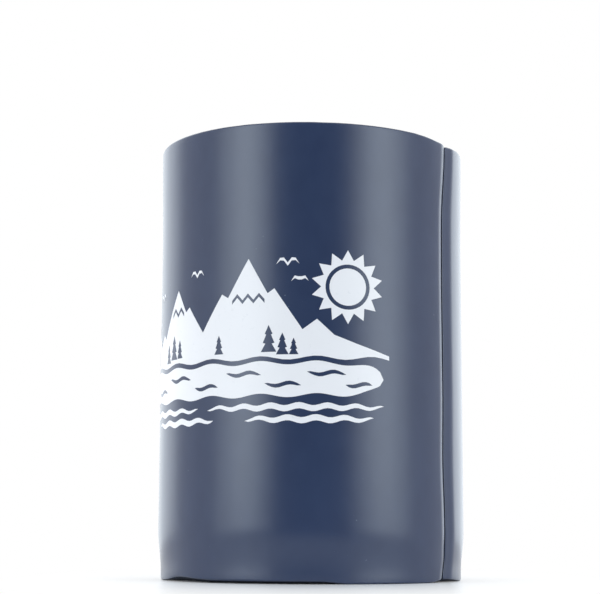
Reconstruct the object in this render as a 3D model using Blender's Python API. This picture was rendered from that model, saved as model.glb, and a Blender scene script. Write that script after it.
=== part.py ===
"""A can cooler sleeve: an open tube rolled from one strip of closed-cell foam, with a
butt seam down one side and a one-colour print wrapped round the front.

Units are metres. The sleeve stands on z = 0 with its axis on Z. An azimuth of 0 is the
front (-Y), and it grows to the right (+X). Lengths along the skin are arc lengths.
"""

from math import ceil, cos, pi, radians, sin, sqrt

import bmesh
import bpy

MM = 0.001

# The can that the sleeve holds, and the foam strip it is rolled from
CAN_DIAMETER = 66.2 * MM
CAN_CLEARANCE = 0.3 * MM
WALL = 4.0 * MM
SLEEVE_HEIGHT = 105.0 * MM

# Cut edges at the top and the foot
EDGE_ROUND = 0.5 * MM
EDGE_ARC_STEPS = 3

# The foot, where the foam draws in below the can's straight side
FOOT_DRAW_IN = 0.75 * MM
FOOT_DRAW_HEIGHT = 12.0 * MM
FOOT_STRAIGHT_HEIGHT = 2.0 * MM
FOOT_ROW = 2.3 * MM
BODY_ROW = 9.0 * MM

# The top, where the whole wall flares a little above the can's straight side
TOP_FLARE = 0.3 * MM
TOP_FLARE_LENGTH = 25.0 * MM

# The butt seam. Its drift is how far it wanders along the skin by height, in millimetres.
# The edges of both panels roll over into a crease, and the right panel lies a little sunk
SEAM_AZIMUTH = radians(58.7)
SEAM_DRIFT = (
    (0.0, 0.29), (4.5, 1.07), (9.0, 0.44), (13.0, 0.29), (28.0, -0.34), (44.0, 0.06),
    (70.0, -0.08), (86.0, 0.11), (105.0, 1.54),
)
SEAM_DRIFT_REACH = 14.0 * MM
CREASE_WIDTH = 0.4 * MM
CREASE_DEPTH = 1.5 * MM
LEFT_ROLL_REACH = 3.2 * MM
LEFT_ROLL_DROP = 0.88 * MM
RIGHT_ROLL_REACH = 0.5 * MM
RIGHT_ROLL_DROP = 0.15 * MM
RIGHT_SINK = 0.66 * MM
RIGHT_SINK_LENGTH = 4.2 * MM
ROLL_COLUMNS = 6
BORE_CREASE_DEPTH = 0.3 * MM
BORE_CREASE_LENGTH = 1.2 * MM

# How the cut edges wave: the top is cut a little aslant, lower on the right, and sags to
# the seam. The foot's skin side lifts at the seam, at the front left and across the front
TOP_TILT = 0.45 * MM
TOP_SAG = 0.5 * MM
TOP_SAG_LENGTH = 13.0 * MM
SEAM_NOTCH = 0.3 * MM
SEAM_NOTCH_LENGTH = 1.2 * MM
SEAM_LIFT = 0.75 * MM
SEAM_LIFT_LEFT = 7.0 * MM
SEAM_LIFT_RIGHT = 14.0 * MM
CORNER_LIFT_AZIMUTH = radians(-59.0)
CORNER_LIFT = 0.55 * MM
CORNER_LIFT_LENGTH = 15.0 * MM
FRONT_LIFT_AZIMUTH = radians(-27.0)
FRONT_LIFT = 0.6 * MM
FRONT_LIFT_FLAT = 19.0 * MM
FRONT_LIFT_LENGTH = 8.5 * MM

SKIN_COLUMN = 3.2 * MM
SUNK_COLUMN = 0.9 * MM

# The print: ink films on the skin. Their shapes are drawn flat, from a middle that lies
# this far above the middle of the sleeve and this far along the skin from the front
PRINT_RISE = 2.5 * MM
PRINT_SHIFT = -28.0 * MM
INK_GAP = 0.3 * MM
INK_THICKNESS = 0.2 * MM
INK_COLUMN = 4.0 * MM
OUTLINE_STEP = 0.9 * MM

# The shore, a wavy line that the ridge stands on and the lake lies under
SHORE_LEVEL = -4.6 * MM
SHORE_SWING = 0.45 * MM
SHORE_WAVE = 13.0 * MM
SHORE_GAP = 1.1 * MM
LAKE_LENGTH = 90.0 * MM
LAKE_DEPTH = 7.4 * MM
LAKE_BLUNTNESS = 10

# The ridge's skyline from left to right, drawn flat in millimetres
SKYLINE = (
    (-46.5, -3.9), (-41.0, 3.5), (-38.4, 1.6), (-33.0, 9.6), (-30.2, 6.0), (-28.6, 7.2),
    (-22.0, 0.6), (-18.8, 3.4), (-17.2, 2.2), (-9.6, 13.2), (-6.0, 7.6), (-4.6, 8.6),
    (0.4, 2.2), (6.2, 10.6), (7.9, 9.6), (13.2, 18.4), (17.9, 10.2), (19.5, 11.3),
    (26.0, 1.8), (29.3, 4.2), (33.2, 0.6), (38.4, -1.3), (46.5, -3.9),
)

# Snow lines knocked out of the peaks: left end, right end and level, in millimetres
SNOW_LINES = ((-35.2, -31.0, 5.3), (-12.4, -6.9, 7.9), (9.0, 17.2, 9.2))
SNOW_TOOTH = 1.35 * MM
SNOW_SWING = 0.75 * MM
SNOW_THICKNESS = 0.9 * MM

# Pines knocked out of the ridge's foot: place along the shore and height
PINES = (
    (-39.4, 4.2), (-36.2, 5.4), (-25.8, 3.9), (-14.8, 4.6), (-11.6, 5.8), (-8.7, 4.4),
    (5.4, 4.4), (18.2, 6.2), (21.4, 5.0), (24.0, 3.8),
)
PINE_TIERS = 3
PINE_SLIMNESS = 0.30
PINE_NOTCH = 0.42
PINE_TIER_RISE = 0.92
PINE_FOOT = 1.1 * MM

# Dashes of light knocked out of the lake: middle, depth below its middle, and length
GLINTS = (
    (-38.0, 1.3, 7.5), (-28.5, -1.4, 9.0), (-19.5, 1.2, 8.0), (-8.5, -1.2, 9.5),
    (1.5, 1.3, 7.5), (12.0, -1.3, 9.0), (21.5, 1.2, 8.5), (31.5, -1.3, 9.0), (39.0, 1.3, 6.5),
)
GLINT_THICKNESS = 0.95 * MM

# Ripples below the lake: middle, level and length
RIPPLES = (
    (-22.0 * MM, -15.8 * MM, 42.0 * MM),
    (23.6 * MM, -15.7 * MM, 43.0 * MM),
    (-9.0 * MM, -18.4 * MM, 26.0 * MM),
    (27.5 * MM, -18.4 * MM, 30.0 * MM),
)
RIPPLE_THICKNESS = 1.4 * MM
STROKE_SWING = 0.35 * MM
STROKE_WAVE = 6.5 * MM

# The sun, with its rays as one toothed ring, and the gulls: middle, level and span
SUN_MIDDLE = (36.4, 11.6)
SUN_RADIUS = 4.3 * MM
SUN_RING_GAP = 0.9 * MM
SUN_RING_WIDTH = 1.0 * MM
SUN_RAY_LENGTH = 2.3 * MM
SUN_RAYS = 14
GULLS = ((22.6, 16.8, 5.4), (25.4, 12.9, 4.0), (-1.8, 15.6, 4.6), (-20.6, 12.2, 5.0))
GULL_THICKNESS = 0.75 * MM
GULL_LIFT = 0.24
GULL_WING_CURVE = 0.7

FOAM_COLOUR = (0.022, 0.035, 0.085, 1.0)
FOAM_ROUGHNESS = 0.38
INK_COLOUR = (0.80, 0.83, 0.88, 1.0)
INK_ROUGHNESS = 0.5

BORE_RADIUS = (CAN_DIAMETER + CAN_CLEARANCE) / 2
OUTER_RADIUS = BORE_RADIUS + WALL
CIRCUMFERENCE = 2 * pi * OUTER_RADIUS
PRINT_HEIGHT = SLEEVE_HEIGHT / 2 + PRINT_RISE
MERGE = 0.005 * MM


def bump(distance, length_left, length_right=None):
    """A smooth hump that is 1 at no distance and 0 past its length on either side."""
    length = length_left if distance < 0 or length_right is None else length_right
    if abs(distance) >= length:
        return 0.0
    return 0.5 + 0.5 * cos(pi * distance / length)


def arc_between(first, second):
    """The shorter signed arc length along the skin from the first place to the second."""
    return (second - first + CIRCUMFERENCE / 2) % CIRCUMFERENCE - CIRCUMFERENCE / 2


def seam_drift(height):
    """How far the seam wanders along the skin at a height, smooth between its places."""
    for (low, before), (high, after) in zip(SEAM_DRIFT, SEAM_DRIFT[1:]):
        if height <= high * MM:
            t = max(0.0, (height / MM - low) / (high - low))
            return (before + (after - before) * (3 - 2 * t) * t * t) * MM
    return SEAM_DRIFT[-1][1] * MM


def rolled_edge(reach, drop):
    """A panel's edge as it rolls over into the crease, as (distance, offset) pairs."""
    shares = [i / ROLL_COLUMNS for i in range(ROLL_COLUMNS + 1)]
    return [(CREASE_WIDTH / 2 + share * reach, -drop * (1 - share) ** 2) for share in shares]


def even_places(low, high, step):
    """Places after the low one up to the high one, in even steps of about this size."""
    count = ceil((high - low) / step)
    return [low + (high - low) * i / count for i in range(1, count + 1)]


def skin_outline():
    """The skin seen from above, once round from crease to crease, as (arc, offset) pairs."""
    right_edge = rolled_edge(RIGHT_ROLL_REACH, RIGHT_ROLL_DROP)
    left_edge = [
        (CIRCUMFERENCE - distance, offset)
        for distance, offset in reversed(rolled_edge(LEFT_ROLL_REACH, LEFT_ROLL_DROP))
    ]
    sunk = even_places(right_edge[-1][0], RIGHT_SINK_LENGTH, SUNK_COLUMN)
    plain = even_places(RIGHT_SINK_LENGTH, left_edge[0][0], SKIN_COLUMN)[:-1]
    panel = [*right_edge, *((arc, 0.0) for arc in sunk + plain), *left_edge]
    lowered = [(arc, offset - RIGHT_SINK * bump(arc, RIGHT_SINK_LENGTH)) for arc, offset in panel]
    return [(0.0, -CREASE_DEPTH), *lowered]


def wall_section():
    """The cut wall, once round from the foot's skin side, as (depth, height) pairs."""
    quarter = [pi / 2 * i / EDGE_ARC_STEPS for i in range(EDGE_ARC_STEPS + 1)]
    near = [(EDGE_ROUND * (1 - sin(a)), EDGE_ROUND * (1 - cos(a))) for a in quarter]
    rows = even_places(EDGE_ROUND, FOOT_DRAW_HEIGHT, FOOT_ROW)
    rows += even_places(FOOT_DRAW_HEIGHT, SLEEVE_HEIGHT - EDGE_ROUND, BODY_ROW)[:-1]
    skin = near + [(0.0, height) for height in rows]
    skin += [(depth, SLEEVE_HEIGHT - height) for depth, height in reversed(near)]
    bore = [(WALL - depth, height) for depth, height in reversed(skin)]
    return skin + bore


def foot_height(arc, depth):
    """How far the foot is off the ground. It stands on its bore side, and its skin side lifts."""
    place = SEAM_AZIMUTH * OUTER_RADIUS + arc
    from_corner = arc_between(CORNER_LIFT_AZIMUTH * OUTER_RADIUS, place)
    from_front = arc_between(FRONT_LIFT_AZIMUTH * OUTER_RADIUS, place)
    past_front = max(0.0, abs(from_front) - FRONT_LIFT_FLAT)
    lift = SEAM_LIFT * bump(arc_between(0.0, arc), SEAM_LIFT_LEFT, SEAM_LIFT_RIGHT)
    lift += CORNER_LIFT * bump(from_corner, CORNER_LIFT_LENGTH)
    lift += FRONT_LIFT * bump(past_front, FRONT_LIFT_LENGTH)
    return lift * (1 - depth / WALL)


def top_height(arc):
    """The height of the top edge, which is cut a little aslant and sags to the seam."""
    from_seam = arc_between(0.0, arc)
    height = SLEEVE_HEIGHT - TOP_TILT * sin(SEAM_AZIMUTH + arc / OUTER_RADIUS)
    height -= TOP_SAG * bump(from_seam, TOP_SAG_LENGTH)
    return height - SEAM_NOTCH * bump(from_seam, SEAM_NOTCH_LENGTH)


def wall_point(arc, offset, depth, height):
    """A point of the wall, from its place on the rolled strip."""
    from_seam = arc_between(0.0, arc)
    drift = seam_drift(height) * bump(from_seam, SEAM_DRIFT_REACH)
    azimuth = SEAM_AZIMUTH + (arc + drift) / OUTER_RADIUS
    skin = OUTER_RADIUS + offset
    bore = BORE_RADIUS + BORE_CREASE_DEPTH * bump(from_seam, BORE_CREASE_LENGTH)
    above_straight = max(0.0, height - FOOT_STRAIGHT_HEIGHT)
    draw_in = FOOT_DRAW_IN * bump(above_straight, FOOT_DRAW_HEIGHT - FOOT_STRAIGHT_HEIGHT)
    flare = TOP_FLARE * bump(SLEEVE_HEIGHT - height, TOP_FLARE_LENGTH)
    radius = skin + (bore - skin) * depth / WALL - draw_in + flare
    foot = foot_height(arc, depth)
    z = foot + (top_height(arc) - foot) * height / SLEEVE_HEIGHT
    return radius * sin(azimuth), -radius * cos(azimuth), z


def face_outward(bm):
    """Turns every face of a closed mesh to the outside."""
    bmesh.ops.recalc_face_normals(bm, faces=bm.faces)
    if bm.calc_volume(signed=True) < 0:
        bmesh.ops.reverse_faces(bm, faces=bm.faces)


def foam_wall():
    """The strip as a closed ring: a flat grid carried round its section and round the axis."""
    outline = skin_outline()
    section = wall_section()
    bm = bmesh.new()
    bmesh.ops.create_grid(bm, x_segments=len(outline), y_segments=len(section), size=0.5)
    for vert in bm.verts:
        column = round((vert.co.x + 0.5) * len(outline)) % len(outline)
        row = round((vert.co.y + 0.5) * len(section)) % len(section)
        vert.co = wall_point(*outline[column], *section[row])
    bmesh.ops.remove_doubles(bm, verts=bm.verts, dist=MERGE)
    return bm


def shore(u):
    """The wavy line between ridge and lake, at this place along the print."""
    return SHORE_LEVEL + SHORE_SWING * sin(2 * pi * u / SHORE_WAVE)


def span_steps(length):
    """Places from -1 to 1 that divide a length into steps of the outlines' own length."""
    steps = ceil(length / OUTLINE_STEP)
    return [2 * i / steps - 1 for i in range(steps + 1)]


def tapered_outline(middle, length, half_thickness, centre_line):
    """A closed outline round a centre line, from its half thickness at places -1 to 1."""
    places = span_steps(length)[1:-1]
    tip_left = (middle - length / 2, centre_line(middle - length / 2))
    tip_right = (middle + length / 2, centre_line(middle + length / 2))
    upper = []
    lower = []
    for place in places:
        u = middle + place * length / 2
        upper.append((u, centre_line(u) + half_thickness(place)))
        lower.append((u, centre_line(u) - half_thickness(place)))
    return [tip_left, *upper, tip_right, *reversed(lower)]


def stroke(middle, level, length, thickness):
    """A short wavy brush stroke with fine ends."""
    return tapered_outline(
        middle, length,
        lambda place: thickness / 2 * sqrt(1 - place**2),
        lambda u: level + STROKE_SWING * sin(2 * pi * (u - middle) / STROKE_WAVE),
    )


def snow_line(left, right, level):
    """A zigzag band across a peak."""
    teeth = max(2, round((right - left) / SNOW_TOOTH))
    step = (right - left) / teeth
    middle = [
        (left + step * i, level + SNOW_SWING * (1 if i % 2 else -1)) for i in range(teeth + 1)
    ]
    upper = [(u, v + SNOW_THICKNESS / 2) for u, v in middle]
    lower = [(u, v - SNOW_THICKNESS / 2) for u, v in reversed(middle)]
    return upper + lower


def pine(u, height):
    """A pine of stacked tiers that stands just over the shore."""
    foot = shore(u) + PINE_FOOT
    tier = height / PINE_TIERS
    right_side = []
    for i in range(PINE_TIERS):
        reach = PINE_SLIMNESS * height * (1 - i / (PINE_TIERS + 1))
        level = foot + tier * i
        right_side.append((reach, level))
        right_side.append((reach * PINE_NOTCH, level + tier * PINE_TIER_RISE))
    right_side[-1] = (0.0, foot + height)
    left_side = [(-reach, level) for reach, level in reversed(right_side[:-1])]
    return [(u + reach, level) for reach, level in right_side + left_side]


def circle(middle, radius):
    """A round outline."""
    steps = ceil(2 * pi * radius / OUTLINE_STEP)
    angles = [2 * pi * i / steps for i in range(steps)]
    return [(middle[0] + radius * cos(a), middle[1] + radius * sin(a)) for a in angles]


def sunburst(middle, inner, outer):
    """A ring of pointed rays, from the valleys between them out to their tips."""
    points = []
    for i in range(2 * SUN_RAYS):
        angle = pi / 2 + pi * i / SUN_RAYS
        radius = inner if i % 2 else outer
        points.append((middle[0] + radius * cos(angle), middle[1] + radius * sin(angle)))
    return points


def gull(middle, level, span):
    """Two raised wings as one thin outline."""
    def wings(u):
        beat = abs(sin(2 * pi * (u - middle) / span))
        return level + GULL_LIFT * span * beat**GULL_WING_CURVE

    return tapered_outline(
        middle, span, lambda place: GULL_THICKNESS / 2 * sqrt(1 - place**2), wings
    )


def in_metres(pairs):
    """Points written in millimetres, as metres."""
    return [(u * MM, v * MM) for u, v in pairs]


def ridge_outlines():
    """The mountains, with the snow lines and the pines as holes."""
    skyline = in_metres(SKYLINE)
    left, right = skyline[0][0], skyline[-1][0]
    steps = ceil((right - left) / OUTLINE_STEP / 2)
    foot = [right + (left - right) * i / steps for i in range(steps + 1)]
    holes = [snow_line(a * MM, b * MM, level * MM) for a, b, level in SNOW_LINES]
    holes += [pine(u * MM, height * MM) for u, height in PINES]
    return [skyline + [(u, shore(u)) for u in foot], *holes]


def lake_outlines():
    """The lake, blunt at both ends, with dashes of light as holes."""
    sink = SHORE_GAP + LAKE_DEPTH / 2
    surface = tapered_outline(
        0.0, LAKE_LENGTH,
        lambda place: LAKE_DEPTH / 2 * sqrt(1 - abs(place) ** LAKE_BLUNTNESS),
        lambda u: shore(u) - sink,
    )
    holes = [
        stroke(u * MM, SHORE_LEVEL - sink - below * MM, length * MM, GLINT_THICKNESS)
        for u, below, length in GLINTS
    ]
    return [surface, *holes]


def sun_outlines():
    """The sun's disc, and the ring of rays round it."""
    middle = in_metres([SUN_MIDDLE])[0]
    ring = SUN_RADIUS + SUN_RING_GAP
    valley = ring + SUN_RING_WIDTH
    return (
        [circle(middle, SUN_RADIUS)],
        [sunburst(middle, valley, valley + SUN_RAY_LENGTH), circle(middle, ring)],
    )


def flat_film(name, outlines):
    """A flat sheet of ink from closed outlines, of which all but the first are holes."""
    curve = bpy.data.curves.new(name, "CURVE")
    curve.dimensions = "2D"
    curve.fill_mode = "BOTH"
    curve.extrude = INK_THICKNESS / 2
    for outline in outlines:
        spline = curve.splines.new("POLY")
        spline.points.add(len(outline) - 1)
        for point, (u, v) in zip(spline.points, outline):
            point.co = (u, v, 0.0, 1.0)
        spline.use_cyclic_u = True
    holder = bpy.data.objects.new(name + "_outline", curve)
    bpy.context.scene.collection.objects.link(holder)
    graph = bpy.context.evaluated_depsgraph_get()
    mesh = bpy.data.meshes.new_from_object(holder.evaluated_get(graph))
    bpy.data.objects.remove(holder)
    bm = bmesh.new()
    bm.from_mesh(mesh)
    bpy.data.meshes.remove(mesh)
    bmesh.ops.remove_doubles(bm, verts=bm.verts, dist=MERGE)
    bmesh.ops.dissolve_limit(bm, angle_limit=radians(0.5), verts=bm.verts, edges=bm.edges)
    return bm


def wrapped_film(name, outlines):
    """A sheet of ink, cut into narrow columns and wrapped round the skin."""
    bm = flat_film(name, outlines)
    left = min(vert.co.x for vert in bm.verts)
    right = max(vert.co.x for vert in bm.verts)
    columns = ceil((right - left) / INK_COLUMN)
    for i in range(1, columns):
        at = left + (right - left) * i / columns
        everything = bm.verts[:] + bm.edges[:] + bm.faces[:]
        bmesh.ops.bisect_plane(
            bm, geom=everything, dist=MERGE / 10, plane_co=(at, 0, 0), plane_no=(1, 0, 0)
        )
    middle_radius = OUTER_RADIUS + INK_GAP + INK_THICKNESS / 2
    for vert in bm.verts:
        azimuth = (PRINT_SHIFT + vert.co.x) / OUTER_RADIUS
        radius = middle_radius + vert.co.z
        height = PRINT_HEIGHT + vert.co.y
        vert.co = (radius * sin(azimuth), -radius * cos(azimuth), height)
    return bm


def material(name, colour, roughness):
    """A plain Principled finish."""
    finish = bpy.data.materials.new(name)
    finish.use_nodes = True
    shader = finish.node_tree.nodes["Principled BSDF"]
    shader.inputs["Base Color"].default_value = colour
    shader.inputs["Roughness"].default_value = roughness
    finish.diffuse_color = colour
    return finish


def add_piece(collection, name, bm, finish):
    """One named object from a finished mesh, shaded smooth between its sharp edges."""
    face_outward(bm)
    mesh = bpy.data.meshes.new(name)
    bm.to_mesh(mesh)
    bm.free()
    mesh.shade_smooth()
    mesh.set_sharp_from_angle(angle=radians(35))
    mesh.materials.append(finish)
    piece = bpy.data.objects.new(name, mesh)
    collection.objects.link(piece)
    return piece


def print_films():
    """Every shape of the print, by name."""
    disc, rays = sun_outlines()
    films = {
        "print_ridge": ridge_outlines(),
        "print_lake": lake_outlines(),
        "print_sun_disc": disc,
        "print_sun_rays": rays,
    }
    for i, (u, level, length) in enumerate(RIPPLES, 1):
        films[f"print_ripple_{i}"] = [stroke(u, level, length, RIPPLE_THICKNESS)]
    for i, (u, level, span) in enumerate(GULLS, 1):
        films[f"print_gull_{i}"] = [gull(u * MM, level * MM, span * MM)]
    return films


def clear_scene():
    """Removes what the scene starts with."""
    for obj in list(bpy.data.objects):
        bpy.data.objects.remove(obj, do_unlink=True)


def main():
    """Builds the sleeve and its print."""
    clear_scene()
    sleeve = bpy.data.collections.new("can_cooler_sleeve")
    bpy.context.scene.collection.children.link(sleeve)
    add_piece(sleeve, "sleeve_wall", foam_wall(), material("foam", FOAM_COLOUR, FOAM_ROUGHNESS))
    ink = material("ink", INK_COLOUR, INK_ROUGHNESS)
    for name, outlines in print_films().items():
        add_piece(sleeve, name, wrapped_film(name, outlines), ink)


main()
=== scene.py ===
"""The looks of the can cooler sleeve: a fine foam wall, the ink of its print, and the
studio round it. Units are metres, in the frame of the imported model: the sleeve stands on
z = 0 with its axis on Z, an azimuth of 0 is the front (-Y), and it grows towards +X.
"""

from math import atan2, ceil, cos, hypot, pi, radians, sin

import bmesh
import bpy
from mathutils import Matrix, Vector, noise


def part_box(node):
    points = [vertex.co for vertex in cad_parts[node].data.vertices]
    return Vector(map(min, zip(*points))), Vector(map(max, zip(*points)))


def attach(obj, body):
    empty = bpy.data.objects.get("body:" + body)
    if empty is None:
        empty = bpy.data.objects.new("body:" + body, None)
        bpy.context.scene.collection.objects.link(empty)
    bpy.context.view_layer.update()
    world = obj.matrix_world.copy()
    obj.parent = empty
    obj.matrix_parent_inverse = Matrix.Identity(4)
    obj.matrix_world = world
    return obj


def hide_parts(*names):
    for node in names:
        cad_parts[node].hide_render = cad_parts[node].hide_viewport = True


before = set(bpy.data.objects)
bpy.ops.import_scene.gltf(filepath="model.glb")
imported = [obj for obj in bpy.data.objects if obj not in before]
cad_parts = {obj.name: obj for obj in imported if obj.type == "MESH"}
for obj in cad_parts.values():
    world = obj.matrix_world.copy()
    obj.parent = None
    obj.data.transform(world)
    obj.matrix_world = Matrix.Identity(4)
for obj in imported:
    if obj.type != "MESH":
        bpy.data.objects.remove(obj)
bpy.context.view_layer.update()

MM = 0.001
BODY = "root"
WALL_NODE = "sleeve_wall"
PRINT_NODES = sorted(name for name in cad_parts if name.startswith("print_"))

# How far the model's top is cut aslant, above and below its middle height, and flares
TOP_TILT = 0.45 * MM
TOP_FLARE = 0.3 * MM

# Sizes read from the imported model
wall_low, wall_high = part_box(WALL_NODE)
SLEEVE_HEIGHT = wall_high[2] - wall_low[2] - TOP_TILT
OUTER_RADIUS = (wall_high[1] - wall_low[1]) / 2 - TOP_FLARE
BORE_RADIUS = min(
    hypot(v.co.x, v.co.y)
    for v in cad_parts[WALL_NODE].data.vertices
    if v.co.z > SLEEVE_HEIGHT / 2
)
WALL = OUTER_RADIUS - BORE_RADIUS
CIRCUMFERENCE = 2 * pi * OUTER_RADIUS

# Cut edges, and the foot that draws in, as the model has them
EDGE_ROUND = 0.5 * MM
FOOT_DRAW_IN = 0.75 * MM
FOOT_DRAW_HEIGHT = 12.0 * MM
FOOT_STRAIGHT_HEIGHT = 2.0 * MM

# The seam, as the model has it. Its drift is how far it wanders along the skin by height,
# in millimetres. Both panels roll over into the crease, and the right one lies sunk
SEAM_AZIMUTH = radians(58.7)
SEAM_DRIFT = (
    (0.0, 0.29), (4.5, 1.07), (9.0, 0.44), (13.0, 0.29), (28.0, -0.34), (44.0, 0.06),
    (70.0, -0.08), (86.0, 0.11), (105.0, 1.54),
)
SEAM_DRIFT_REACH = 14.0 * MM
CREASE_WIDTH = 0.4 * MM
CREASE_DEPTH = 1.5 * MM
LEFT_ROLL_REACH = 3.2 * MM
LEFT_ROLL_DROP = 0.88 * MM
RIGHT_ROLL_REACH = 0.5 * MM
RIGHT_ROLL_DROP = 0.15 * MM
RIGHT_SINK = 0.66 * MM
RIGHT_SINK_LENGTH = 4.2 * MM
BORE_CREASE_DEPTH = 0.3 * MM
BORE_CREASE_LENGTH = 1.2 * MM

# The top's sag, flare and notch, and the places where the foot's skin side lifts, as the
# model has them
TOP_SAG = 0.5 * MM
TOP_SAG_LENGTH = 13.0 * MM
TOP_FLARE_LENGTH = 25.0 * MM
SEAM_NOTCH = 0.3 * MM
SEAM_NOTCH_LENGTH = 1.2 * MM
SEAM_LIFT = 0.75 * MM
SEAM_LIFT_LEFT = 7.0 * MM
SEAM_LIFT_RIGHT = 14.0 * MM
CORNER_LIFT_AZIMUTH = radians(-59.0)
CORNER_LIFT = 0.55 * MM
CORNER_LIFT_LENGTH = 15.0 * MM
FRONT_LIFT_AZIMUTH = radians(-27.0)
FRONT_LIFT = 0.6 * MM
FRONT_LIFT_FLAT = 19.0 * MM
FRONT_LIFT_LENGTH = 8.5 * MM

# The fine mesh of the wall, which is carried over from a flat grid one unit wide
GRID_HALF = 0.5
EDGE_ARC_STEPS = 5
ROLL_COLUMNS = 10
SKIN_COLUMN = 0.65 * MM
SKIN_ROW = 1.25 * MM
BORE_ROW = 2.5 * MM
RIM_ROWS = 8
MERGE = 0.002 * MM
SHARP_ANGLE = radians(35)

# Slow waves of the skin and small unevenness of the cut edges
SKIN_WAVE = 0.035 * MM
SKIN_WAVE_SIZE = 22.0 * MM
SKIN_WAVE_HEIGHT = 44.0 * MM
EDGE_WAVE = 0.06 * MM
EDGE_WAVE_SIZE = 4.0 * MM
EDGE_WAVE_REACH = 1.0 * MM

# The ink lies on the skin: its two sides, and the columns that bend it round
INK_UNDER = 0.004 * MM
INK_OVER = 0.045 * MM
INK_COLUMN = radians(1.0)
INK_CUT_MERGE = 0.0002 * MM

# The wall's materials, in the order of its slots, and how far round the edge the skin
# reaches, as a share of the edge's depth
SKIN, CUT, BORE = range(3)
SKIN_TURN = 0.45

# Colours, roughness and shine of foam, dust and ink
SKIN_DARK = (0.020, 0.033, 0.077)
SKIN_LIGHT = (0.0235, 0.038, 0.085)
SKIN_ROUGHNESS = 0.28
SKIN_ROUGHNESS_SPREAD = 0.006
DUST_COLOUR = (0.20, 0.24, 0.32)
DUST_STRENGTH = 0.5
CUT_DARK = (0.014, 0.019, 0.036)
CUT_LIGHT = (0.022, 0.028, 0.050)
CUT_ROUGHNESS = 0.85
CUT_SHINE = 0.25
# Painted shade: the cut cells' hollows, which the bump shapes, are coloured darker for the shade
# that falls in them
PORE_SHADE_COLOUR = (0.006, 0.008, 0.014)
BORE_DARK = (0.016, 0.023, 0.050)
BORE_LIGHT = (0.022, 0.031, 0.062)
BORE_ROUGHNESS = 0.62
BORE_SHINE = 0.4
INK_COLOUR = (0.72, 0.72, 0.75)
INK_THIN = (0.64, 0.645, 0.68)
INK_ROUGHNESS = 0.45

# The grain of each surface, in waves or cells a metre along each axis
SKIN_MOTTLE = (260, 260, 180)
SKIN_STREAKS = (300, 300, 60)
SKIN_PEEL = (420, 420, 260)
SKIN_GRAIN = (2600, 2600, 1800)
DUST_SPECKS = (520, 520, 520)
DUST_PATCHES = (150, 150, 150)
CUT_MOTTLE = (500, 500, 500)
CUT_CELLS = (3400, 3400, 3400)
BORE_MOTTLE = (300, 300, 300)
BORE_CELLS = (2200, 2200, 2200)
INK_PATCHES = (900, 900, 900)
INK_SCREEN = (3200, 3200, 3200)

# Between which values of noise, or of the distance to a cell's middle, a look changes
MOTTLE_TURN = (0.3, 0.7)
SPECK_TURN = (0.05, 0.09)
PATCH_TURN = (0.6, 0.7)
# Where the painted shade of the cut cells' hollows fades out, by distance to a cell's middle
PORE_SHADE_TURN = (0.15, 0.55)
THIN_TURN = (0.62, 0.78)

# Strength and depth of each bump
SKIN_PEEL_BUMP = (0.12, 0.08 * MM)
SKIN_GRAIN_BUMP = (0.10, 0.03 * MM)
CUT_BUMP = (0.5, 0.12 * MM)
BORE_BUMP = (0.25, 0.06 * MM)
INK_BUMP = (0.15, 0.02 * MM)

# The colour sockets of a mix node: its two inputs and its output
MIX_FIRST, MIX_SECOND, MIX_RESULT = 6, 7, 2

# The ground keeps its own colour near the sleeve and turns white further off. It counts
# distances longer sideways and shorter to the front and back
WHITE = (1, 1, 1, 1)
GROUND_COLOUR = (0.93, 0.94, 0.95, 1.0)
GROUND_ROUGHNESS = 0.25
GROUND_RADIUS = 0.16
GROUND_SIDES = 96
GROUND_TURN = (0.036, 0.095)
GROUND_STRETCH = (1.3, 0.75, 1.0)

# White surroundings, and lamps on a circle round the sleeve. Each lamp is given by its
# azimuth, width, height, the height of its middle, and its brightness, where 1 is the
# white of the surroundings
WORLD_LEVEL = 1.0
STUDIO_RADIUS = 0.8
LAMP_COLOUR = (0.91, 1.02, 1.09)
LAMPS = (
    ("softbox_left", radians(-51), 0.58, 0.9, 0.30, 1.85),
    ("softbox_left_core", radians(-49), 0.26, 0.9, 0.30, 1.9),
    ("softbox_right", radians(54), 0.58, 0.9, 0.30, 1.85),
    ("softbox_right_core", radians(53), 0.28, 0.9, 0.30, 1.7),
    ("strip_left", radians(-142), 0.70, 1.1, 0.20, 1.17),
    ("strip_right", radians(143.8), 0.64, 1.1, 0.20, 1.3),
)

# Two dark cards, behind the camera and on the ground before the sleeve, keep the white
# surroundings out of the skin's dark middle
CARD_COLOUR = (0.03, 0.03, 0.03, 1.0)
CARD_ROUGHNESS = 0.9
FRONT_CARD_WIDTH = 0.81
FRONT_CARD_HEIGHT = 1.6
FRONT_CARD_MIDDLE = 0.30
FLOOR_CARD_WIDTH = 0.5
FLOOR_CARD_NEAR = 0.1
FLOOR_CARD_FAR = 0.7
FLOOR_CARD_RISE = 1.0 * MM

# The camera, fitted to the photograph's 600 by 594 pixels
CAMERA_DISTANCE = 390.5 * MM
CAMERA_HEIGHT = 11.3 * MM
CAMERA_PITCH = radians(8.51)
CAMERA_YAW = -0.0073
CAMERA_ROLL = 0.0033
FOCAL_PIXELS = 1576.0
PHOTO_WIDTH = 600.0
SENSOR = 36.0


def bump(distance, length_left, length_right=None):
    """A smooth hump that is 1 at no distance and 0 past its length on either side."""
    length = length_left if distance < 0 or length_right is None else length_right
    if abs(distance) >= length:
        return 0.0
    return 0.5 + 0.5 * cos(pi * distance / length)


def arc_between(first, second):
    """The shorter signed arc length along the skin from the first place to the second."""
    return (second - first + CIRCUMFERENCE / 2) % CIRCUMFERENCE - CIRCUMFERENCE / 2


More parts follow.
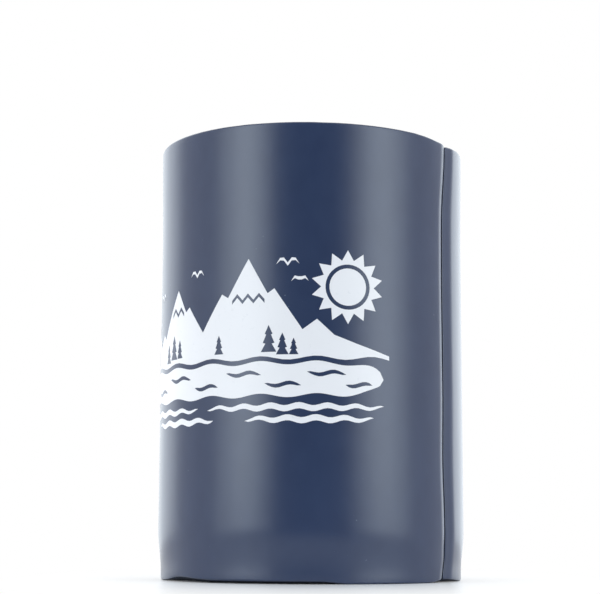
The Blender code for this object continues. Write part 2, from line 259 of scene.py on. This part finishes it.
def seam_drift(height):
    """How far the seam wanders along the skin at a height, smooth between its places."""
    for (low, before), (high, after) in zip(SEAM_DRIFT, SEAM_DRIFT[1:]):
        if height <= high * MM:
            t = max(0.0, (height / MM - low) / (high - low))
            return (before + (after - before) * (3 - 2 * t) * t * t) * MM
    return SEAM_DRIFT[-1][1] * MM


def rolled_edge(reach, drop):
    """A panel's edge as it rolls over into the crease, as (distance, offset) pairs."""
    shares = [i / ROLL_COLUMNS for i in range(ROLL_COLUMNS + 1)]
    return [(CREASE_WIDTH / 2 + share * reach, -drop * (1 - share) ** 2) for share in shares]


def skin_outline():
    """The skin seen from above, once round from crease to crease, as (arc, offset) pairs."""
    right_edge = rolled_edge(RIGHT_ROLL_REACH, RIGHT_ROLL_DROP)
    left_edge = [
        (CIRCUMFERENCE - distance, offset)
        for distance, offset in reversed(rolled_edge(LEFT_ROLL_REACH, LEFT_ROLL_DROP))
    ]
    start, end = right_edge[-1][0], left_edge[0][0]
    columns = ceil((end - start) / SKIN_COLUMN)
    plain = [(start + (end - start) * i / columns, 0.0) for i in range(1, columns)]
    panel = [*right_edge, *plain, *left_edge]
    sunk = [(arc, offset - RIGHT_SINK * bump(arc, RIGHT_SINK_LENGTH)) for arc, offset in panel]
    return [(0.0, -CREASE_DEPTH), *sunk]


def even_places(low, high, step):
    """Places after the low one up to the high one, in even steps of about this size."""
    count = ceil((high - low) / step)
    return [low + (high - low) * i / count for i in range(1, count + 1)]


def wall_section():
    """The cut wall, once round from the foot's skin side, as (depth, height) pairs."""
    quarter = [pi / 2 * i / EDGE_ARC_STEPS for i in range(EDGE_ARC_STEPS + 1)]
    foot_corner = [(EDGE_ROUND * (1 - sin(a)), EDGE_ROUND * (1 - cos(a))) for a in quarter]
    top_corner = [(depth, SLEEVE_HEIGHT - height) for depth, height in reversed(foot_corner)]
    shoulder = SLEEVE_HEIGHT - EDGE_ROUND
    rim_step = (WALL - 2 * EDGE_ROUND) / RIM_ROWS
    skin_heights = even_places(EDGE_ROUND, shoulder, SKIN_ROW)[:-1]
    bore_heights = even_places(EDGE_ROUND, shoulder, BORE_ROW)[:-1]
    rim_depths = even_places(EDGE_ROUND, WALL - EDGE_ROUND, rim_step)[:-1]
    return [
        *foot_corner,
        *((0.0, height) for height in skin_heights),
        *top_corner,
        *((depth, SLEEVE_HEIGHT) for depth in rim_depths),
        *((WALL - depth, height) for depth, height in reversed(top_corner)),
        *((WALL, height) for height in reversed(bore_heights)),
        *((WALL - depth, height) for depth, height in reversed(foot_corner)),
        *((depth, 0.0) for depth in reversed(rim_depths)),
    ]


def skin_wave(azimuth, height):
    """Slow unevenness of the rolled foam, in metres outward."""
    around = OUTER_RADIUS / SKIN_WAVE_SIZE
    place = Vector((around * sin(azimuth), around * cos(azimuth), height / SKIN_WAVE_HEIGHT))
    return SKIN_WAVE * noise.noise(place)


def edge_wave(azimuth, height, depth):
    """Small unevenness of the knife's cut at the top and the foot."""
    reach = OUTER_RADIUS - depth
    place = Vector((reach * sin(azimuth), reach * cos(azimuth), height)) / EDGE_WAVE_SIZE
    return abs(EDGE_WAVE * noise.noise(place))


def seam_azimuth(arc, height):
    """The azimuth of a column of the strip, which follows the wandering seam close to it."""
    drift = seam_drift(height) * bump(arc_between(0.0, arc), SEAM_DRIFT_REACH)
    return SEAM_AZIMUTH + (arc + drift) / OUTER_RADIUS


def foot_height(arc, depth):
    """How far the foot is off the ground. It stands on its bore side, and its skin side lifts."""
    place = SEAM_AZIMUTH * OUTER_RADIUS + arc
    from_corner = arc_between(CORNER_LIFT_AZIMUTH * OUTER_RADIUS, place)
    from_front = arc_between(FRONT_LIFT_AZIMUTH * OUTER_RADIUS, place)
    past_front = max(0.0, abs(from_front) - FRONT_LIFT_FLAT)
    lift = SEAM_LIFT * bump(arc_between(0.0, arc), SEAM_LIFT_LEFT, SEAM_LIFT_RIGHT)
    lift += CORNER_LIFT * bump(from_corner, CORNER_LIFT_LENGTH)
    lift += FRONT_LIFT * bump(past_front, FRONT_LIFT_LENGTH)
    return lift * (1 - depth / WALL)


def top_height(arc):
    """The height of the top edge, which is cut a little aslant and sags to the seam."""
    from_seam = arc_between(0.0, arc)
    height = SLEEVE_HEIGHT - TOP_TILT * sin(SEAM_AZIMUTH + arc / OUTER_RADIUS)
    height -= TOP_SAG * bump(from_seam, TOP_SAG_LENGTH)
    return height - SEAM_NOTCH * bump(from_seam, SEAM_NOTCH_LENGTH)


def draw_in(height):
    """How far the wall is drawn in at this height: at the foot, and the other way at the top."""
    above_straight = max(0.0, height - FOOT_STRAIGHT_HEIGHT)
    foot = FOOT_DRAW_IN * bump(above_straight, FOOT_DRAW_HEIGHT - FOOT_STRAIGHT_HEIGHT)
    return foot - TOP_FLARE * bump(SLEEVE_HEIGHT - height, TOP_FLARE_LENGTH)


def wall_point(arc, offset, depth, height):
    """A point of the wall, from its place on the rolled strip."""
    azimuth = seam_azimuth(arc, height)
    skin = OUTER_RADIUS + offset
    bore = BORE_RADIUS + BORE_CREASE_DEPTH * bump(arc_between(0.0, arc), BORE_CREASE_LENGTH)
    radius = skin + (bore - skin) * depth / WALL - draw_in(height) + skin_wave(azimuth, height)
    foot = foot_height(arc, depth)
    z = foot + (top_height(arc) - foot) * height / SLEEVE_HEIGHT
    wave = edge_wave(azimuth, height, depth)
    z -= wave * bump(SLEEVE_HEIGHT - height, EDGE_WAVE_REACH)
    z += wave * bump(height, EDGE_WAVE_REACH)
    return Vector((radius * sin(azimuth), -radius * cos(azimuth), z))


def mesh_piece(name, bm, materials):
    """An object from a finished mesh, shaded smooth between its sharp edges."""
    bmesh.ops.recalc_face_normals(bm, faces=bm.faces)
    if bm.calc_volume(signed=True) < 0:
        bmesh.ops.reverse_faces(bm, faces=bm.faces)
    mesh = bpy.data.meshes.new(name)
    bm.to_mesh(mesh)
    bm.free()
    mesh.shade_smooth()
    mesh.set_sharp_from_angle(angle=SHARP_ANGLE)
    for material in materials:
        mesh.materials.append(material)
    piece = bpy.data.objects.new(name, mesh)
    bpy.context.scene.collection.objects.link(piece)
    return piece


def face_kind(depth):
    """Which of the wall's materials a face has at this depth."""
    if depth < EDGE_ROUND * SKIN_TURN:
        return SKIN
    return BORE if depth > WALL - EDGE_ROUND * SKIN_TURN else CUT


def foam_wall(materials):
    """The strip as a closed ring, in the same form as the model's and finer."""
    outline = skin_outline()
    section = wall_section()
    columns, rows = len(outline), len(section)
    bm = bmesh.new()
    bmesh.ops.create_grid(bm, x_segments=columns, y_segments=rows, size=GRID_HALF)
    for face in bm.faces:
        middle = face.calc_center_median()
        column = int((middle.x + GRID_HALF) * columns)
        row = int((middle.y + GRID_HALF) * rows)
        kind = face_kind((section[row][0] + section[(row + 1) % rows][0]) / 2)
        in_crease = column in (0, columns - 1)
        face.material_index = CUT if in_crease and kind == SKIN else kind
    for vert in bm.verts:
        column = round((vert.co.x + GRID_HALF) * columns) % columns
        row = round((vert.co.y + GRID_HALF) * rows) % rows
        vert.co = wall_point(*outline[column], *section[row])
    bmesh.ops.remove_doubles(bm, verts=bm.verts, dist=MERGE)
    return mesh_piece("foam_wall", bm, materials)


def skin_radius(azimuth, height):
    """The skin's distance from the axis, away from the seam."""
    return OUTER_RADIUS + skin_wave(azimuth, height) - draw_in(height)


def ink_piece(node, material):
    """A shape of the print, taken from its film in the model and laid on the fine skin."""
    bm = bmesh.new()
    bm.from_mesh(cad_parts[node].data)
    azimuths = [atan2(v.co.x, -v.co.y) for v in bm.verts]
    radii = [hypot(v.co.x, v.co.y) for v in bm.verts]
    middle = (min(radii) + max(radii)) / 2
    first, last = min(azimuths), max(azimuths)
    columns = ceil((last - first) / INK_COLUMN)
    for i in range(1, columns):
        azimuth = first + (last - first) * i / columns
        everything = bm.verts[:] + bm.edges[:] + bm.faces[:]
        bmesh.ops.bisect_plane(
            bm, geom=everything, dist=INK_CUT_MERGE, plane_co=(0, 0, 0),
            plane_no=(cos(azimuth), sin(azimuth), 0),
        )
    for vert in bm.verts:
        azimuth = atan2(vert.co.x, -vert.co.y)
        on_top = hypot(vert.co.x, vert.co.y) > middle
        radius = skin_radius(azimuth, vert.co.z) + (INK_OVER if on_top else INK_UNDER)
        vert.co = (radius * sin(azimuth), -radius * cos(azimuth), vert.co.z)
    return mesh_piece(node.replace("print", "ink"), bm, [material])


class Shader:
    """A material's node tree, with short ways to add and join its nodes."""

    def __init__(self, name):
        self.material = bpy.data.materials.new(name)
        self.material.use_nodes = True
        self.tree = self.material.node_tree
        self.principled = self.tree.nodes["Principled BSDF"]
        self.place = self.add("ShaderNodeTexCoord").outputs["Object"]

    def add(self, kind, **settings):
        """A node of this kind, with its own settings."""
        node = self.tree.nodes.new(kind)
        for key, value in settings.items():
            setattr(node, key, value)
        return node

    def join(self, source, target):
        """Links an output to an input."""
        self.tree.links.new(source, target)

    def set(self, **values):
        """Plain numbers and colours on the Principled shader's own sockets."""
        for key, value in values.items():
            self.principled.inputs[key.replace("_", " ")].default_value = value

    def feed(self, **sources):
        """Outputs of other nodes, joined to the Principled shader's own sockets."""
        for key, source in sources.items():
            self.join(source, self.principled.inputs[key.replace("_", " ")])

    def stretched(self, scale):
        """The piece's own coordinates, scaled along each axis."""
        mapping = self.add("ShaderNodeMapping")
        mapping.inputs["Scale"].default_value = scale
        self.join(self.place, mapping.inputs["Vector"])
        return mapping.outputs["Vector"]

    def noise(self, scale, detail=2.0, roughness=0.5):
        """Noise from 0 to 1 at this many waves a metre along each axis."""
        node = self.add("ShaderNodeTexNoise")
        node.inputs["Scale"].default_value = 1.0
        node.inputs["Detail"].default_value = detail
        node.inputs["Roughness"].default_value = roughness
        self.join(self.stretched(scale), node.inputs["Vector"])
        return node.outputs["Fac"]

    def cells(self, scale):
        """Distance to the nearest of scattered points, this many of them a metre."""
        node = self.add("ShaderNodeTexVoronoi", feature="F1")
        node.inputs["Scale"].default_value = 1.0
        self.join(self.stretched(scale), node.inputs["Vector"])
        return node.outputs["Distance"]

    def spread(self, value, turn, to_low=0.0, to_high=1.0):
        """A value mapped from between two places to between two others, clamped."""
        node = self.add("ShaderNodeMapRange")
        node.inputs["From Min"].default_value, node.inputs["From Max"].default_value = turn
        node.inputs["To Min"].default_value = to_low
        node.inputs["To Max"].default_value = to_high
        self.join(value, node.inputs["Value"])
        return node.outputs["Result"]

    def work_out(self, operation, first, second):
        """Two values joined by a plain operation."""
        node = self.add("ShaderNodeMath", operation=operation)
        self.join(first, node.inputs[0])
        self.join(second, node.inputs[1])
        return node.outputs[0]

    def blend(self, factor, first, second):
        """One colour to another by a factor. The first may be an output."""
        node = self.add("ShaderNodeMix", data_type="RGBA")
        self.join(factor, node.inputs["Factor"])
        if isinstance(first, tuple):
            node.inputs[MIX_FIRST].default_value = (*first, 1.0)
        else:
            self.join(first, node.inputs[MIX_FIRST])
        node.inputs[MIX_SECOND].default_value = (*second, 1.0)
        return node.outputs[MIX_RESULT]

    def mottled(self, scale, dark, light):
        """Two like colours in soft patches."""
        return self.blend(self.spread(self.noise(scale, detail=3), MOTTLE_TURN), dark, light)

    def bump(self, height, strength, depth, under=None):
        """A bump from a height, on top of another bump."""
        node = self.add("ShaderNodeBump")
        node.inputs["Strength"].default_value = strength
        node.inputs["Distance"].default_value = depth
        self.join(height, node.inputs["Height"])
        if under:
            self.join(under, node.inputs["Normal"])
        return node.outputs["Normal"]


def skin_material():
    """The foam's smooth navy skin: satin, faintly streaked, with a few specks of dust."""
    shader = Shader("foam_skin")
    base = shader.mottled(SKIN_MOTTLE, SKIN_DARK, SKIN_LIGHT)
    specks = shader.spread(shader.cells(DUST_SPECKS), SPECK_TURN, 1.0, 0.0)
    patches = shader.spread(shader.noise(DUST_PATCHES), PATCH_TURN, 0.0, DUST_STRENGTH)
    dust = shader.work_out("MULTIPLY", specks, patches)
    streaks = shader.spread(
        shader.noise(SKIN_STREAKS), MOTTLE_TURN,
        SKIN_ROUGHNESS - SKIN_ROUGHNESS_SPREAD, SKIN_ROUGHNESS + SKIN_ROUGHNESS_SPREAD,
    )
    grain = shader.bump(shader.noise(SKIN_GRAIN), *SKIN_GRAIN_BUMP)
    peel = shader.bump(shader.noise(SKIN_PEEL, detail=1), *SKIN_PEEL_BUMP, grain)
    shader.feed(Base_Color=shader.blend(dust, base, DUST_COLOUR), Roughness=streaks, Normal=peel)
    return shader.material


def cut_material():
    """The foam's cut edge: matt, with fine closed cells, whose hollows are painted darker as the
    shade in them.
    """
    shader = Shader("foam_cut")
    base = shader.mottled(CUT_MOTTLE, CUT_DARK, CUT_LIGHT)
    cells = shader.cells(CUT_CELLS)
    # Painted shade: the hollows of the cells, where the bump is lowest, get the darker colour
    pore_shade = shader.spread(cells, PORE_SHADE_TURN, 1.0, 0.0)
    shader.feed(
        Base_Color=shader.blend(pore_shade, base, PORE_SHADE_COLOUR), Normal=shader.bump(cells, *CUT_BUMP)
    )
    shader.set(Roughness=CUT_ROUGHNESS, Specular_IOR_Level=CUT_SHINE)
    return shader.material


def bore_material():
    """The inside: the same foam with a duller, finely grained skin."""
    shader = Shader("foam_bore")
    base = shader.mottled(BORE_MOTTLE, BORE_DARK, BORE_LIGHT)
    shader.feed(Base_Color=base, Normal=shader.bump(shader.cells(BORE_CELLS), *BORE_BUMP))
    shader.set(Roughness=BORE_ROUGHNESS, Specular_IOR_Level=BORE_SHINE)
    return shader.material


def ink_material():
    """The print's white ink: satin, a little thin in places, with the screen's fine marks."""
    shader = Shader("ink")
    thin = shader.spread(shader.noise(INK_PATCHES, detail=4, roughness=0.6), THIN_TURN)
    marks = shader.bump(shader.noise(INK_SCREEN, detail=1), *INK_BUMP)
    shader.feed(Base_Color=shader.blend(thin, INK_COLOUR, INK_THIN), Normal=marks)
    shader.set(Roughness=INK_ROUGHNESS)
    return shader.material


def card_material(name):
    """A dark matt card."""
    shader = Shader(name)
    shader.set(Base_Color=CARD_COLOUR, Roughness=CARD_ROUGHNESS)
    return shader.material


def ground_material():
    """Pale ground that keeps the sleeve's shadow and goes over into white at its edge."""
    shader = Shader("ground")
    shader.set(Base_Color=GROUND_COLOUR, Roughness=GROUND_ROUGHNESS)
    length = shader.add("ShaderNodeVectorMath", operation="LENGTH")
    shader.join(shader.stretched(GROUND_STRETCH), length.inputs[0])
    far = shader.spread(length.outputs["Value"], GROUND_TURN)
    path = shader.add("ShaderNodeLightPath").outputs
    seen = shader.work_out("MAXIMUM", path["Is Camera Ray"], path["Is Glossy Ray"])
    seen = shader.work_out("MAXIMUM", seen, path["Is Transmission Ray"])
    white = shader.add("ShaderNodeEmission")
    white.inputs["Color"].default_value = WHITE
    mix = shader.add("ShaderNodeMixShader")
    shader.join(shader.work_out("MULTIPLY", far, seen), mix.inputs["Fac"])
    shader.join(shader.principled.outputs[0], mix.inputs[1])
    shader.join(white.outputs[0], mix.inputs[2])
    shader.join(mix.outputs[0], shader.tree.nodes["Material Output"].inputs["Surface"])
    return shader.material


def add_ground():
    """The round pale ground that the sleeve stands on."""
    bpy.ops.mesh.primitive_circle_add(
        radius=GROUND_RADIUS, vertices=GROUND_SIDES, fill_type="NGON",
        location=(0, 0, wall_low[2]),
    )
    ground = bpy.context.object
    ground.name = "ground"
    ground.data.materials.append(ground_material())


def add_world():
    """White surroundings."""
    world = bpy.data.worlds.new("studio")
    bpy.context.scene.world = world
    world.use_nodes = True
    background = world.node_tree.nodes["Background"]
    background.inputs["Color"].default_value = WHITE
    background.inputs["Strength"].default_value = WORLD_LEVEL


def face_sleeve(obj, azimuth, middle):
    """Stands a lamp or card on the studio's circle and turns it to the sleeve."""
    obj.location = (STUDIO_RADIUS * sin(azimuth), -STUDIO_RADIUS * cos(azimuth), middle)
    obj.rotation_euler = (pi / 2, 0, azimuth)
    obj.visible_camera = False


def add_lamp(name, azimuth, width, height, middle, brightness):
    """A soft lamp with this brightness all over its face."""
    light = bpy.data.lights.new(name, "AREA")
    light.shape = "RECTANGLE"
    light.size = width
    light.size_y = height
    light.energy = brightness * pi * width * height
    light.color = LAMP_COLOUR
    lamp = bpy.data.objects.new(name, light)
    bpy.context.scene.collection.objects.link(lamp)
    face_sleeve(lamp, azimuth, middle)


def new_card(name, width, height):
    """A dark card, out of the camera's sight."""
    bpy.ops.mesh.primitive_plane_add(size=1)
    card = bpy.context.object
    card.name = name
    card.scale = (width, height, 1)
    card.visible_camera = False
    card.data.materials.append(card_material(name))
    return card


def add_cards():
    """The card that stands behind the camera, and the one on the ground before the sleeve."""
    front = new_card("card_front", FRONT_CARD_WIDTH, FRONT_CARD_HEIGHT)
    face_sleeve(front, 0.0, FRONT_CARD_MIDDLE)
    floor = new_card("card_floor", FLOOR_CARD_WIDTH, FLOOR_CARD_FAR - FLOOR_CARD_NEAR)
    floor.location = (0, -(FLOOR_CARD_NEAR + FLOOR_CARD_FAR) / 2, wall_low[2] + FLOOR_CARD_RISE)


def add_camera():
    """The camera at the photograph's viewing angle."""
    data = bpy.data.cameras.new("camera")
    data.sensor_width = SENSOR
    data.lens = FOCAL_PIXELS * SENSOR / PHOTO_WIDTH
    camera = bpy.data.objects.new("camera", data)
    camera.matrix_world = (
        Matrix.Translation((0, -CAMERA_DISTANCE, CAMERA_HEIGHT))
        @ Matrix.Rotation(-CAMERA_YAW, 4, "Z")
        @ Matrix.Rotation(pi / 2 + CAMERA_PITCH, 4, "X")
        @ Matrix.Rotation(CAMERA_ROLL, 4, "Z")
    )
    bpy.context.scene.collection.objects.link(camera)
    bpy.context.scene.camera = camera


def add_sleeve():
    """The foam wall and its print, each riding on the model's one body."""
    wall = foam_wall([skin_material(), cut_material(), bore_material()])
    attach(wall, BODY)
    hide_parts(WALL_NODE)
    ink = ink_material()
    for node in PRINT_NODES:
        piece = ink_piece(node, ink)
        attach(piece, BODY)
        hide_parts(node)


def add_studio():
    """Camera, ground, world, lamps and cards."""
    add_camera()
    add_ground()
    add_world()
    for name, *place in LAMPS:
        add_lamp(name, *place)
    add_cards()


bpy.context.scene.view_settings.view_transform = "Standard"
add_studio()
add_sleeve()
